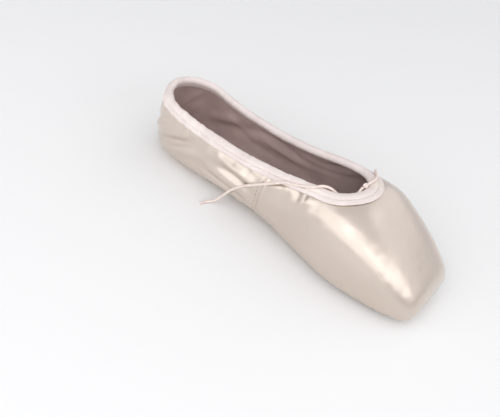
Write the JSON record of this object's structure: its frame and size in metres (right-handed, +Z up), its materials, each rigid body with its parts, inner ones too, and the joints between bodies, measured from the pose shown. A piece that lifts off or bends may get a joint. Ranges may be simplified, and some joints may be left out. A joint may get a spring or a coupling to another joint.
{
  "type": "pointe shoe",
  "caption": "Empty satin pointe shoe with a stiff toe box and flat platform, a low collar bound with a drawstring casing, and a slim leather sole.",
  "frame": {"origin": "on the floor, under the middle of the shoe's box", "axes": "+Z up; +Y from the toe platform back to the heel; +X across the shoe, away from the side where the drawstring's long end lies"},
  "size_m": [0.0798, 0.238, 0.0638],
  "materials": {
    "satin": "glossy ivory-pink satin",
    "sole_leather": "matt natural leather, buffed",
    "insole_cloth": "matt grey-mauve cloth",
    "casing_tape": "matt pale bias tape",
    "elastic_cord": "covered elastic cord"
  },
  "bodies": {
    "root": {"upper": "satin", "outsole": "sole_leather", "insole": "insole_cloth", "collar_casing": "casing_tape", "drawstring_knot": "elastic_cord", "drawstring_near": "elastic_cord", "drawstring_far": "elastic_cord"}
  },
  "joints": []
}
